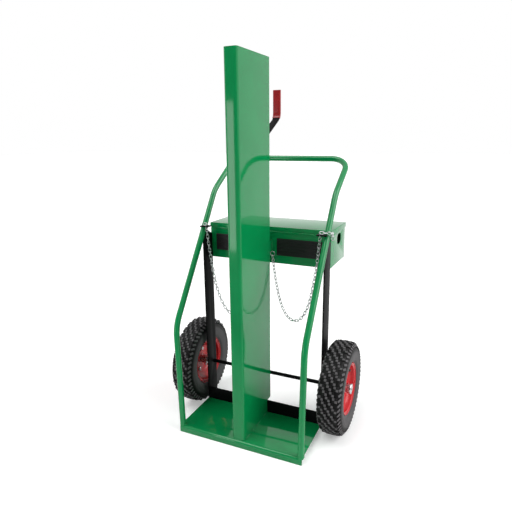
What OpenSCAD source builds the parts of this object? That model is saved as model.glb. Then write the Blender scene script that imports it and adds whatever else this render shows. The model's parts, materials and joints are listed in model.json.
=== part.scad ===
// Two-bay gas cylinder trolley with a fire barrier between the bays.
// Millimetres. +Z is up, the open side faces -Y and the handle is at +Y.
// Lengths along Y are measured from the front edge of the base plate.

/* [Base] */
// Width of the base plate
base_w = 560; // [480:5:640]
// Depth of the base plate, front edge to rear bar
base_d = 250; // [220:5:300]
// Height of the base plate's top above the floor
base_h = 30; // [26:1:45]
// Thickness of the base plate and of the flat bars
plate_t = 6; // [4:0.5:8]
// Height of the bar across the rear of the base
rear_bar_h = 63; // [45:1:90]

/* [Frame] */
// Outside diameter of the handle tube
tube_d = 25.4; // [20:0.1:30]
// Wall of the handle tube
tube_wall = 2.5; // [1.5:0.1:4]
// Distance of each tube's foot inside the base plate's side edge
foot_in = 8; // [4:1:18]
// Distance of each tube's rail outside the base plate's side edge
rail_out = 1; // [0:0.5:6]
// Height of the lower bend's corner
low_bend_z = 486; // [440:2:540]
// Height of the upper bend's corner
high_bend_z = 1016; // [980:2:1060]
// Distance of the upper bend's corner from the front edge
high_bend_y = 372; // [350:2:390]
// Height of the push bar
push_z = 1148; // [1120:2:1200]
// Distance of the push bar from the front edge
push_y = 577; // [560:2:620]
// Bend radius of the lower and upper bends
bend_r = 150; // [100:5:180]
// Bend radius at the ends of the push bar
corner_r = 80; // [60:5:100]
// Width of the flat bar of the uprights
upright_w = 76; // [70:1:84]

/* [Fire barrier] */
// Thickness of the fire barrier
barrier_t = 54; // [46:1:64]
// Distance of the fire barrier's front from the front edge
barrier_y = 10; // [6:1:16]
// Depth of the fire barrier
barrier_d = 276; // [262:1:282]
// Height of the fire barrier's top above the floor
barrier_top = 1545; // [1400:5:1700]
// Sheet thickness of the fire barrier and the toolbox
sheet_t = 2; // [1.5:0.1:3]
// Outside bend radius of the barrier's front corners
barrier_r = 11; // [5:0.5:14]

/* [Toolbox] */
// Height of the toolbox's underside above the floor
box_z = 714; // [690:2:730]
// Height of the toolbox, underside to lid top
box_h = 159; // [140:1:170]
// Depth of the toolbox
box_d = 222; // [180:2:226]
// Height of the lid's lips
lid_lip = 20; // [16:1:26]
// Height of the rubber rest pads
pad_h = 74; // [60:1:84]
// Width of each rubber rest pad
pad_w = 208; // [160:2:216]
// Thickness of the rubber rest pads
pad_t = 5; // [3:0.5:6]

/* [Wheels] */
// Outside diameter of the tyre
tyre_d = 400; // [380:2:420]
// Width of the tyre
tyre_w = 103; // [90:1:110]
// Number of tread blocks in each row round the tyre
tread_cells = 28; // [24:1:30]
// Height of the tread blocks
tread_deep = 7; // [5:0.5:8]
// Length of a tread block round the tyre
block_long = 18; // [14:0.5:20]
// Width of a tread block across the tyre
block_wide = 17; // [12:0.5:18]
// Distance between tread rows across the tyre
row_pitch = 14; // [13:0.5:15]
// Length of a shoulder bar round the tyre
bar_long = 11; // [8:0.5:12]
// Slant of the shoulder bars
bar_slant = 35; // [0:1:35]
// Distance of each wheel's middle outside the upright
wheel_out = 63.5; // [61:0.5:75]
// Distance of the axle behind the base plate
axle_back = 54; // [48:1:58]
// Diameter of the axle
axle_d = 16; // [14:0.5:18]
// Radius of the rim's bead seat
seat_r = 101.5; // [96:0.5:106]
// Outside radius of the rim's flange
flange_r = 112; // [108:0.5:116]
// Outside radius of the wheel bearings
bearing_r = 17.5; // [16:0.1:19]
// Width of the wheel bearings
bearing_w = 11; // [9:0.5:13]
// Number of bolts that hold the rim halves together
rim_bolts_n = 5; // [4:1:6]

/* [Chains] */
// Wire diameter of the chain links
wire_d = 3.2; // [2.8:0.1:3.4]
// Inside length of a chain link
link_in = 16; // [15:0.2:18]
// Inside width of a chain link
link_gap = 7.2; // [6.8:0.1:8]
// Links that hang in the left chain
left_links = 50; // [46:2:56]
// Links that hang in the right chain
right_links = 48; // [46:2:56]

/* [Hose hook] */
// Width of the hook's flat bar
hook_w = 30; // [24:1:36]
// Reach of the hook behind the fire barrier
hook_reach = 148; // [110:2:180]
// Height of the hook's tip above the floor
hook_top = 1436; // [1400:2:1460]
// Height of the hook, root to tip
hook_h = 236; // [220:2:270]
// Height of the hook's root plate
hook_root_h = 46; // [40:1:60]
// Rise of the hook's arm
hook_rise = 76; // [40:2:90]
// Bend radius of the hook's bar
hook_bend_r = 40; // [20:1:50]

/* [Hidden] */
$fn = 48;

// Clearances
running_gap = 0.05;
press_gap = 0.02;
seat_gap = 0.3;

// Colours
green = [0, 0.46, 0.24];
black = [0.06, 0.06, 0.06];
red = [0.72, 0.1, 0.13];
rubber = [0.12, 0.11, 0.12];
zinc = [0.78, 0.79, 0.8];

// The origin lies under the middle of the trolley's depth
tube_r = tube_d / 2;
mid_y = (push_y + tube_r) / 2;
module from_front() {
    translate([0, -mid_y, 0]) children();
}

// Copies for the left or the right side
module on_side(side) {
    if (side < 0) mirror([1, 0, 0]) children();
    else children();
}

// A profile drawn as [y, z] and pulled out along X between two places
module along_x(x0, x1) {
    translate([x0, 0, 0]) rotate([90, 0, 90]) linear_extrude(x1 - x0) children();
}

// A ring about the X axis, between two places along it
module ring_x(x0, x1, r_in, r_out) {
    translate([x0, 0, 0]) rotate([0, 90, 0]) difference() {
        cylinder(r = r_out, h = x1 - x0);
        translate([0, 0, -1]) cylinder(r = r_in, h = x1 - x0 + 2);
    }
}

// Base plate with its front edge bent down to the floor
lip_r = plate_t + 4;
module base_plate() {
    color(green) from_front() along_x(-base_w / 2, base_w / 2) union() {
        translate([lip_r, base_h - plate_t]) square([base_d - lip_r, plate_t]);
        square([plate_t, base_h - lip_r]);
        translate([lip_r, base_h - lip_r]) intersection() {
            circle(lip_r);
            translate([-lip_r, 0]) square(lip_r);
        }
    }
}

// Flat bar across the rear of the base, between the uprights
bar_z = base_h - plate_t;
rail_x = base_w / 2 + rail_out;
upright_x = rail_x - plate_t;
module rear_cross_bar() {
    color(black) from_front()
        translate([-upright_x, base_d, bar_z]) cube([2 * upright_x, plate_t, rear_bar_h]);
}

// Corner points of the right half of the handle tube
foot = [base_w / 2 - foot_in, tube_r + seat_gap, base_h];
low_bend = [rail_x, foot.y, low_bend_z];
high_bend = [rail_x, high_bend_y, high_bend_z];
corner = [rail_x, push_y, push_z];
push_mid = [0, push_y, push_z];

// Lean of the tube between its bends
lean = atan2(high_bend.y - low_bend.y, high_bend.z - low_bend.z);
function rail_y(z) = low_bend.y + (z - low_bend.z) * tan(lean);
function rail_z(y) = low_bend.z + (y - low_bend.y) / tan(lean);

// Flat bar uprights, cut under the leaning tube and sloped down to the toolbox
upright_y = base_d;
upright_back = upright_y + upright_w;
axle_y = base_d + axle_back;
axle_z = tyre_d / 2;
tube_drop = tube_r / sin(lean);
upright_peak_y = upright_y + upright_w / 3;
slope_drop = 27;
module upright(side) {
    color(black) from_front() on_side(side) difference() {
        along_x(upright_x, rail_x) polygon([
            [upright_y, bar_z],
            [upright_back, bar_z],
            [upright_back, rail_z(upright_peak_y) - tube_drop - slope_drop],
            [upright_peak_y, rail_z(upright_peak_y) - tube_drop],
            [upright_y, rail_z(upright_y) - tube_drop]
        ]);
        translate([upright_x - 1, axle_y, axle_z]) rotate([0, 90, 0])
            cylinder(d = axle_d + 2 * press_gap, h = plate_t + 2);
    }
}
module left_upright() { upright(-1); }
module right_upright() { upright(1); }

// Bent tube: straight runs and true arcs between corner points
function unit(v) = v / norm(v);
function turn(a, b, c) = acos(unit(a - b) * unit(c - b));
function arc_start(a, b, c, r) = b + unit(a - b) * r / tan(turn(a, b, c) / 2);
function arc_centre(a, b, c, r) = b + unit(unit(a - b) + unit(c - b)) * r / sin(turn(a, b, c) / 2);
// The bends are a hair thinner in the wall than the runs, which reach a little into them
bend_step = 0.05;
run_reach = 1;
module tube_section(step) {
    difference() {
        circle(tube_r - step);
        circle(tube_r - tube_wall + step);
    }
}
module tube_run(p, q) {
    d = unit(q - p);
    translate(p - run_reach * d) rotate([0, acos(d.z), atan2(d.y, d.x)])
        linear_extrude(norm(q - p) + 2 * run_reach) tube_section(0);
}
module tube_bend(a, b, c, r) {
    o = arc_centre(a, b, c, r);
    e1 = unit(arc_start(a, b, c, r) - o);
    e_end = unit(arc_start(c, b, a, r) - o);
    k = unit(cross(e1, e_end));
    e2 = cross(k, e1);
    multmatrix([
        [e1.x, e2.x, k.x, o.x],
        [e1.y, e2.y, k.y, o.y],
        [e1.z, e2.z, k.z, o.z],
        [0, 0, 0, 1]
    ]) rotate_extrude(angle = 180 - turn(a, b, c)) translate([r, 0]) tube_section(bend_step);
}
module handle_leg() {
    tube_run(foot, arc_start(foot, low_bend, high_bend, bend_r));
    tube_bend(foot, low_bend, high_bend, bend_r);
    tube_run(arc_start(high_bend, low_bend, foot, bend_r), arc_start(low_bend, high_bend, corner, bend_r));
    tube_bend(low_bend, high_bend, corner, bend_r);
    tube_run(arc_start(corner, high_bend, low_bend, bend_r), arc_start(high_bend, corner, push_mid, corner_r));
    tube_bend(high_bend, corner, push_mid, corner_r);
}
module handle_tube() {
    push_half = arc_start(push_mid, corner, high_bend, corner_r);
    color(green) from_front() difference() {
        union() {
            handle_leg();
            mirror([1, 0, 0]) handle_leg();
            tube_run([-push_half.x, push_half.y, push_half.z], push_half);
        }
        translate([-base_w, -base_d, base_h - tube_d]) cube([2 * base_w, 2 * base_d, tube_d]);
    }
}

// Fire barrier: a folded shell, a closing channel, a mineral core and a cap
barrier_back = barrier_y + barrier_d;
shell_top = barrier_top - sheet_t;
module barrier_outline(inset) {
    r = barrier_r - inset;
    w = barrier_t / 2 - inset;
    translate([0, barrier_y + inset]) union() {
        translate([-w, r]) square([2 * w, barrier_d - r + (inset > 0 ? 1 : 0)]);
        translate([-w + r, 0]) square([2 * (w - r), r + 1]);
        for (s = [-1, 1]) translate([s * (w - r), r]) circle(r);
    }
}
module bar_notch() {
    translate([-barrier_t, base_d - seat_gap, 0])
        cube([2 * barrier_t, barrier_d, bar_z + rear_bar_h + seat_gap]);
}
module firewall_shell() {
    color(green) from_front() difference() {
        translate([0, 0, base_h]) linear_extrude(shell_top - base_h) difference() {
            barrier_outline(0);
            barrier_outline(sheet_t);
        }
        bar_notch();
    }
}
channel_flange = 18;
channel_x = barrier_t / 2 - sheet_t - press_gap;
channel_z = bar_z + rear_bar_h + seat_gap;
module firewall_rear_channel() {
    color(green) from_front() translate([0, 0, channel_z]) linear_extrude(shell_top - channel_z) difference() {
        translate([-channel_x, barrier_back - channel_flange]) square([2 * channel_x, channel_flange]);
        translate([-channel_x + sheet_t, barrier_back - channel_flange - 1])
            square([2 * (channel_x - sheet_t), channel_flange + 1 - sheet_t]);
    }
}
module firewall_core() {
    color([0.85, 0.83, 0.78]) from_front() difference() {
        translate([0, 0, base_h]) linear_extrude(shell_top - seat_gap - base_h) difference() {
            barrier_outline(sheet_t + seat_gap);
            translate([-barrier_t, barrier_back - channel_flange - seat_gap])
                square([2 * barrier_t, 2 * channel_flange]);
        }
        bar_notch();
    }
}
module firewall_top_cap() {
    color(green) from_front() translate([0, 0, shell_top]) linear_extrude(sheet_t) barrier_outline(0);
}

// Square-section stay between the barrier and the toolbox
box_y = upright_back;
stay_w = 40;
stay_h = 64;
stay_wall = 3;
stay_z = box_z + 38;
module firewall_stay() {
    color(green) from_front() translate([0, barrier_back, stay_z]) difference() {
        translate([-stay_w / 2, 0, 0]) cube([stay_w, box_y - barrier_back, stay_h]);
        translate([-stay_w / 2 + stay_wall, -1, stay_wall])
            cube([stay_w - 2 * stay_wall, box_y - barrier_back + 2, stay_h - 2 * stay_wall]);
    }
}

// Hose hook: flat bar bent from a root plate, along an arm, up to the tip
sleeve_t = 2;
hook_y = barrier_back + hook_reach - plate_t / 2;
hook_root = [barrier_back + plate_t / 2, hook_top - hook_h];
hook_knee = [hook_root.x, hook_root.y + hook_root_h];
hook_elbow = [hook_y, hook_knee.y + hook_rise];
hook_tip = [hook_y, hook_top - sleeve_t - press_gap];
// Points of a bend between two straight lengths, a given distance outside its middle line
function bend_points(a, b, c, off, n = 8) =
    let (
        o = arc_centre(a, b, c, hook_bend_r),
        from = unit(arc_start(a, b, c, hook_bend_r) - o),
        to = unit(arc_start(c, b, a, hook_bend_r) - o)
    ) [for (i = [0 : n]) o + (hook_bend_r + off) * unit(from * (n - i) + to * i)];
module hose_hook() {
    half = plate_t / 2;
    color(black) from_front() along_x(-hook_w / 2, hook_w / 2) polygon(concat(
        [hook_root - [half, 0]],
        bend_points(hook_root, hook_knee, hook_elbow, half),
        bend_points(hook_knee, hook_elbow, hook_tip, -half),
        [hook_tip - [half, 0], hook_tip + [half, 0]],
        bend_points(hook_tip, hook_elbow, hook_knee, half),
        bend_points(hook_elbow, hook_knee, hook_root, -half),
        [hook_root + [half, 0]]
    ));
}
// Outline of the bar's upper length and the first part of its bend, grown by half a thickness
function sleeve_points(half, top, last) =
    let (
        outside = bend_points(hook_tip, hook_elbow, hook_knee, half),
        inside = bend_points(hook_tip, hook_elbow, hook_knee, -half)
    ) concat(
        [[hook_y - half, top], [hook_y + half, top]],
        [for (i = [0 : last]) outside[i]],
        [for (i = [0 : last]) inside[last - i]]
    );
module hook_sleeve() {
    grip_w = hook_w / 2 + press_gap;
    grip_t = plate_t / 2 + press_gap;
    color(red) from_front() difference() {
        along_x(-grip_w - sleeve_t, grip_w + sleeve_t)
            polygon(sleeve_points(grip_t + sleeve_t, hook_top, 5));
        along_x(-grip_w, grip_w) polygon(sleeve_points(grip_t, hook_top - sleeve_t, 6));
    }
}

// Toolbox: a folded tray between two end plates
box_x = rail_x;
box_top = box_z + box_h;
box_back = box_y + box_d;
hinge_r = 3;
hinge_z = box_top - lid_lip - hinge_r / 6;
panel_top = hinge_z - hinge_r + hinge_r / 6;
end_top = box_top - sheet_t - seat_gap;
tray_x = box_x - sheet_t;
module toolbox_tray() {
    color(green) from_front() along_x(-tray_x, tray_x) union() {
        translate([box_y, box_z]) square([box_d, sheet_t]);
        translate([box_y, box_z]) square([sheet_t, panel_top - box_z]);
        translate([box_back - sheet_t, box_z]) square([sheet_t, end_top - box_z]);
    }
}

// End plates with an oval hand hole
hand_hole_r = 23;
hand_hole_l = 18;
hand_hole_back = 12;
hand_hole_y = box_y + box_d / 2 + hand_hole_back;
hand_hole_z = box_z + 104;
module box_end(side) {
    color(green) from_front() on_side(side) along_x(tray_x, box_x) difference() {
        union() {
            translate([box_y, box_z]) square([box_d, panel_top - box_z]);
            translate([box_y + 2 * sheet_t, box_z]) square([box_d - 2 * sheet_t, end_top - box_z]);
        }
        translate([hand_hole_y, hand_hole_z]) union() {
            for (s = [-1, 1]) translate([s * hand_hole_l / 2, 0]) circle(hand_hole_r);
            square([hand_hole_l, 2 * hand_hole_r], center = true);
        }
    }
}
module toolbox_left_end() { box_end(-1); }
module toolbox_right_end() { box_end(1); }

// Lid with lips all round, hinged along its front lip
lid_gap = 1.5;
lid_x = box_x + lid_gap + sheet_t;
lid_back = box_back + lid_gap + sheet_t;
lid_z = box_top - lid_lip;
module toolbox_lid() {
    color(green) from_front() difference() {
        translate([-lid_x, box_y, lid_z]) cube([2 * lid_x, lid_back - box_y, lid_lip]);
        translate([-lid_x + sheet_t, box_y + sheet_t, lid_z - 1])
            cube([2 * (lid_x - sheet_t), lid_back - box_y - 2 * sheet_t, lid_lip - sheet_t + 1]);
    }
}

// Continuous hinge: two leaves with alternate knuckles round one pin
leaf_t = 1.5;
leaf_h = 17;
knuckles = 11;
hinge_len = 2 * (upright_x - 20);
knuckle_l = hinge_len / knuckles;
knuckle_gap = 0.4;
hinge_pin_r = 1.5;
hinge_y = box_y - hinge_r - seat_gap;
module knuckle_set(first, up) {
    for (i = [first : 2 : knuckles - 1]) translate([-hinge_len / 2 + i * knuckle_l + knuckle_gap / 2, 0, 0]) {
        rotate([0, 90, 0]) cylinder(r = hinge_r, h = knuckle_l - knuckle_gap);
        translate([0, hinge_r + seat_gap - leaf_t, up > 0 ? 0 : -hinge_r - 1])
            cube([knuckle_l - knuckle_gap, leaf_t, hinge_r + 1]);
    }
}
module hinge_leaf(first, up) {
    translate([0, hinge_y, hinge_z]) difference() {
        union() {
            knuckle_set(first, up);
            translate([-hinge_len / 2, hinge_r + seat_gap - leaf_t, up > 0 ? hinge_r + 0.6 : -hinge_r - 0.6 - leaf_h])
                cube([hinge_len, leaf_t, leaf_h]);
        }
        translate([-hinge_len, 0, 0]) rotate([0, 90, 0])
            cylinder(r = hinge_pin_r + running_gap, h = 2 * hinge_len);
    }
}
module hinge_fixed_leaf() { color(green) from_front() hinge_leaf(0, -1); }
module hinge_lid_leaf() { color(green) from_front() hinge_leaf(1, 1); }
module hinge_pin() {
    color(zinc) from_front() translate([-hinge_len / 2, hinge_y, hinge_z]) rotate([0, 90, 0])
        cylinder(r = hinge_pin_r, h = hinge_len);
}

// Rubber pads that the cylinders lean on
pad_z = box_z + 36;
pad_shift = 6;
pad_x = (barrier_t / 2 + rail_x) / 2 - pad_shift;
module rest_pad(side) {
    color(rubber) from_front() on_side(side)
        translate([pad_x - pad_w / 2, box_y - pad_t, pad_z]) cube([pad_w, pad_t, pad_h]);
}
module left_rest_pad() { rest_pad(-1); }
module right_rest_pad() { rest_pad(1); }

// Axle and what holds the wheels on it. Places along a wheel are measured outwards from its middle.
axle_r = axle_d / 2;
wheel_x = rail_x + wheel_out;
hub_out = 40;
hub_in = -36;
hub_r = bearing_r + 3;
washer_t = 2.5;
cotter_r = 1.6;
cotter_at = hub_out + washer_t + seat_gap + cotter_r + 1;
axle_end = wheel_x + cotter_at + 4;
cap_wall = 1.5;
cap_out = tyre_w / 2;
cap_hole_r = axle_r - 2;
module at_axle() {
    from_front() translate([0, axle_y, axle_z]) children();
}
module at_wheel(side) {
    at_axle() on_side(side) translate([wheel_x, 0, 0]) children();
}
module axle() {
    color(black) at_axle() difference() {
        translate([-axle_end, 0, 0]) rotate([0, 90, 0]) cylinder(r = axle_r, h = 2 * axle_end);
        for (s = [-1, 1]) translate([s * (wheel_x + cotter_at), 0, -axle_d])
            cylinder(r = cotter_r + press_gap, h = 2 * axle_d);
    }
}
module spacer(side) {
    color(zinc) at_axle() on_side(side)
        ring_x(rail_x, wheel_x + hub_in - seat_gap, axle_r + press_gap, axle_r + 4.5);
}
module left_spacer() { spacer(-1); }
module right_spacer() { spacer(1); }
module washer(side) {
    color(zinc) at_wheel(side)
        ring_x(hub_out + seat_gap, hub_out + seat_gap + washer_t, axle_r + press_gap, axle_r + 7);
}
module left_washer() { washer(-1); }
module right_washer() { washer(1); }
module cotter_pin(side) {
    color(zinc) at_wheel(side) translate([cotter_at, 0, -axle_r - 5])
        cylinder(r = cotter_r, h = axle_d + 10);
}
module left_cotter_pin() { cotter_pin(-1); }
module right_cotter_pin() { cotter_pin(1); }
module hub_cap(side) {
    color(zinc) at_wheel(side) union() {
        ring_x(hub_out - 6, cap_out - cap_wall, hub_r + press_gap, hub_r + cap_wall);
        ring_x(cap_out - cap_wall, cap_out, cap_hole_r, hub_r + cap_wall);
    }
}
module left_hub_cap() { hub_cap(-1); }
module right_hub_cap() { hub_cap(1); }

// Tyre: an oval section, hollow inside, cut flat under the tread, with staggered rows of blocks
bead_w = 76;
bead_at = bead_w / 2;
bead_t = 14;
tyre_wall = tread_deep + 5;
tyre_r = tyre_d / 2;
side_mid_r = (tyre_r + seat_r) / 2;
function oval(t, half_w, half_h) = [
    side_mid_r + half_h * sign(sin(t)) * pow(abs(sin(t)), 0.7),
    half_w * sign(cos(t)) * pow(abs(cos(t)), 0.6)
];
module oval_section(inset) {
    half_w = tyre_w / 2 - inset;
    half_h = tyre_r - side_mid_r - inset;
    polygon([for (i = [0 : 47]) oval(i * 7.5, half_w, half_h)]);
}
crown_r = tyre_r - tread_deep;
crown_half = tyre_w / 2 - 16.5;
shoulder_r = crown_r - 21;
shoulder_half = tyre_w / 2 - 2;
shoulder_turn = atan2(crown_r - shoulder_r, shoulder_half - crown_half);
module under_tread() {
    polygon([
        [0, -tyre_w], [shoulder_r, -tyre_w], [shoulder_r, -shoulder_half], [crown_r, -crown_half],
        [crown_r, crown_half], [shoulder_r, shoulder_half], [shoulder_r, tyre_w], [0, tyre_w]
    ]);
}
block_root = 4;
bar_high = tread_deep - 3;
bar_wide = block_wide - 2;
row_drop = [0, 0.5, 2.5];
module crown_block(row) {
    top = tyre_r - row_drop[abs(row)];
    translate([row * row_pitch - block_wide / 2, -block_long / 2, crown_r - block_root])
        cube([block_wide, block_long, top - crown_r + block_root]);
}
module shoulder_bar(end) {
    translate([end * (crown_half + shoulder_half) / 2, 0, (crown_r + shoulder_r) / 2])
        rotate([0, end * shoulder_turn, 0]) rotate([0, 0, end * bar_slant])
        translate([-bar_wide / 2, -bar_long / 2, -block_root])
        cube([bar_wide, bar_long, bar_high + block_root]);
}
module tread() {
    cell = 360 / tread_cells;
    for (i = [0 : tread_cells - 1]) rotate([180 + i * cell, 0, 0]) union() {
        for (row = [-2, 0, 2]) crown_block(row);
        rotate([cell / 2, 0, 0]) for (row = [-1, 1]) crown_block(row);
        for (half = [0, 1], end = [-1, 1]) rotate([half * cell / 2, 0, 0]) shoulder_bar(end);
    }
}
module turned_x() {
    rotate([0, 90, 0]) rotate_extrude($fn = 96) children();
}
module tyre(side) {
    color(rubber) at_wheel(side) union() {
        turned_x() difference() {
            intersection() {
                oval_section(0);
                under_tread();
                translate([seat_r + press_gap, -tyre_w]) square([tyre_r, 2 * tyre_w]);
            }
            oval_section(tyre_wall);
            translate([0, bead_t - bead_at]) square([side_mid_r, 2 * (bead_at - bead_t)]);
            for (s = [-1, 1]) translate([0, s > 0 ? bead_at - press_gap : press_gap - bead_at - tyre_w])
                square([flange_r + seat_gap, tyre_w]);
        }
        tread();
    }
}
module left_tyre() { tyre(-1); }
module right_tyre() { tyre(1); }
tube_rubber = 2.5;
module inner_tube(side) {
    color(black) at_wheel(side) turned_x() difference() {
        oval_section(tyre_wall + seat_gap);
        oval_section(tyre_wall + seat_gap + tube_rubber);
    }
}
module left_inner_tube() { inner_tube(-1); }
module right_inner_tube() { inner_tube(1); }

// Two-piece rim: each half is a disc, a drum under the bead and a flange
rim_t = 2.5;
drum_r = seat_r - rim_t;
bolt_r = 4;
bolt_circle = 52;
valve_r = 4;
valve_at = 17;
module rim_half(side, out) {
    color(red) at_wheel(side) mirror([out > 0 ? 0 : 1, 0, 0]) difference() {
        union() {
            ring_x(0, rim_t, hub_r + press_gap, seat_r);
            ring_x(0, bead_at, drum_r, seat_r);
            ring_x(bead_at, bead_at + rim_t, drum_r, flange_r);
            ring_x(bead_at, bead_at + 2 * rim_t, flange_r - rim_t, flange_r);
        }
        for (i = [0 : rim_bolts_n - 1]) rotate([i * 360 / rim_bolts_n, 0, 0])
            translate([-1, 0, bolt_circle]) rotate([0, 90, 0]) cylinder(r = bolt_r + 0.2, h = rim_t + 2);
        if (out > 0) translate([valve_at, 0, 0]) cylinder(r = valve_r + 0.2, h = 2 * seat_r);
    }
}
module left_rim_outer() { rim_half(-1, 1); }
module right_rim_outer() { rim_half(1, 1); }
module left_rim_inner() { rim_half(-1, -1); }
module right_rim_inner() { rim_half(1, -1); }

// Hub sleeve with a bearing in each end
module hub(side) {
    color(zinc) at_wheel(side) difference() {
        ring_x(hub_in, hub_out, axle_r + 3, hub_r);
        for (a = [hub_in - 1, hub_out - bearing_w])
            translate([a, 0, 0]) rotate([0, 90, 0]) cylinder(r = bearing_r, h = bearing_w + 1);
    }
}
module left_hub() { hub(-1); }
module right_hub() { hub(1); }
module bearing(side, at) {
    color(zinc) at_wheel(side)
        ring_x(at, at + bearing_w, axle_r + running_gap, bearing_r - press_gap);
}
module left_outer_bearing() { bearing(-1, hub_out - bearing_w); }
module right_outer_bearing() { bearing(1, hub_out - bearing_w); }
module left_inner_bearing() { bearing(-1, hub_in); }
module right_inner_bearing() { bearing(1, hub_in); }

// Bolts and nuts through both rim discs
module rim_bolts(side) {
    color(zinc) at_wheel(side) for (i = [0 : rim_bolts_n - 1]) rotate([i * 360 / rim_bolts_n, 0, 0])
        translate([0, 0, bolt_circle]) rotate([0, 90, 0]) union() {
            translate([0, 0, -rim_t - 6]) cylinder(r = bolt_r, h = 2 * rim_t + 12);
            translate([0, 0, rim_t]) cylinder(r = 2 * bolt_r, h = 5, $fn = 6);
            translate([0, 0, -rim_t - 5]) cylinder(r = 2 * bolt_r, h = 5, $fn = 6);
        }
}
module left_rim_bolts() { rim_bolts(-1); }
module right_rim_bolts() { rim_bolts(1); }

// Valve stem from the inner tube through the drum, bent outwards
valve_low = drum_r - 14;
valve_high = side_mid_r - (tyre_r - side_mid_r - tyre_wall - seat_gap) - seat_gap;
module valve(side) {
    color(black) at_wheel(side) union() {
        translate([valve_at, 0, valve_low]) cylinder(r = valve_r, h = valve_high - valve_low);
        translate([valve_at, 0, valve_low]) sphere(valve_r);
        translate([valve_at, 0, valve_low]) rotate([0, 90, 0]) cylinder(r = valve_r, h = 18);
        translate([valve_at + 18, 0, valve_low]) rotate([0, 90, 0]) cylinder(r = valve_r + 1, h = 8);
    }
}
module left_valve() { valve(-1); }
module right_valve() { valve(1); }

// Keyed bracket on the tube: a chain link stands in its slot, clear of the tube
bracket_z = 866;
bracket_t = 5;
bracket_edge = 12;
link_r = (link_gap + wire_d) / 2;
link_half_w = link_r + wire_d / 2;
slot_x = rail_x - tube_r - link_half_w - 3.5;
slot_y = rail_y(bracket_z) - tube_r / cos(lean) - link_half_w + 1;
slot_half = link_half_w + 1;
slot_w = wire_d + 1.6;
bracket_front = slot_y - slot_half - 4;
module chain_bracket(side) {
    color(black) from_front() on_side(side) difference() {
        translate([slot_x - bracket_edge, bracket_front, bracket_z])
            cube([rail_x + 5 - slot_x + bracket_edge, rail_y(bracket_z) - bracket_front, bracket_t]);
        translate([rail_x, rail_y(bracket_z), bracket_z]) rotate([-lean, 0, 0])
            cylinder(r = tube_r + press_gap, h = 200, center = true);
        translate([slot_x - slot_w / 2, bracket_front - 1, bracket_z - 1])
            cube([slot_w, slot_y + slot_half + 1 - bracket_front, bracket_t + 2]);
    }
}
module left_chain_bracket() { chain_bracket(-1); }
module right_chain_bracket() { chain_bracket(1); }

// Ring eye on the side of the stay
eye_r = 10;
eye_x = stay_w / 2 + eye_r + wire_d / 2 - 0.5;
eye_y = (barrier_back + box_y) / 2;
eye_z = stay_z + 8;
module chain_eye(side) {
    color(zinc) from_front() on_side(side) difference() {
        translate([eye_x, eye_y, eye_z]) rotate([90, 0, 0])
            rotate_extrude() translate([eye_r, 0]) circle(wire_d / 2);
        translate([0, eye_y - wire_d, eye_z - 2 * eye_r]) cube([stay_w / 2, 2 * wire_d, 4 * eye_r]);
    }
}
module left_chain_eye() { chain_eye(-1); }
module right_chain_eye() { chain_eye(1); }

// A chain link along Z, lying in the XZ plane
link_play = 0.8;
link_pitch = link_in - link_play;
link_run = link_in + wire_d - 2 * link_r;
module link() {
    for (s = [-1, 1]) {
        translate([s * link_r, 0, -link_run / 2]) cylinder(d = wire_d, h = link_run, $fn = 16);
        translate([0, 0, s * link_run / 2]) rotate([s > 0 ? 90 : -90, 0, 0])
            rotate_extrude(angle = 180, $fn = 24) translate([link_r, 0]) circle(d = wire_d, $fn = 16);
    }
}

// Catenary of a given length between the eye and the lower end of the slot link
tail_z = bracket_z + bracket_t + seat_gap + link_half_w;
slot_link_z = tail_z - (link_in + wire_d) / 2;
chain_from = [eye_x, eye_y, eye_z - eye_r + (wire_d + link_play) / 2];
chain_to = [slot_x, slot_y, slot_link_z - link_pitch / 2];
chain_span = norm([chain_to.x - chain_from.x, chain_to.y - chain_from.y]);
chain_rise = chain_to.z - chain_from.z;
function sinh(x) = (exp(x) - exp(-x)) / 2;
function asinh(x) = ln(x + sqrt(x * x + 1));
function atanh(x) = ln((1 + x) / (1 - x)) / 2;
function slack(a, len) = 2 * a * sinh(chain_span / (2 * a)) - sqrt(len * len - chain_rise * chain_rise);
// Least and greatest droop that the search looks between, and its steps
droop_low = 12;
droop_high = 600;
droop_steps = 40;
function droop(len, lo = droop_low, hi = droop_high, n = droop_steps) =
    n == 0 ? (lo + hi) / 2 :
    slack((lo + hi) / 2, len) > 0 ? droop(len, (lo + hi) / 2, hi, n - 1) : droop(len, lo, (lo + hi) / 2, n - 1);
heading = atan2(chain_to.y - chain_from.y, chain_to.x - chain_from.x);
// A point of the hanging curve, as [along, up], by its distance along the curve from the lowest point
function curve_point(s, a) = [a * asinh(s / a), sqrt(a * a + s * s)];
module hanging_chain(side, links) {
    len = links * link_pitch;
    a = droop(len);
    low_at = chain_span / 2 - a * atanh(chain_rise / len);
    s_from = -a * sinh(low_at / a);
    start = curve_point(s_from, a);
    color(zinc) from_front() on_side(side) translate(chain_from) rotate([0, 0, heading])
        for (k = [0 : links - 1]) {
            p = curve_point(s_from + k * link_pitch, a) - start;
            q = curve_point(s_from + (k + 1) * link_pitch, a) - start;
            translate([(p.x + q.x) / 2, 0, (p.y + q.y) / 2]) rotate([0, 90 - atan2(q.y - p.y, q.x - p.x), 0])
                rotate([0, 0, k % 2 == 0 ? 90 : 0]) link();
        }
}
module left_chain() { hanging_chain(-1, left_links); }
module right_chain() { hanging_chain(1, right_links); }

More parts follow.
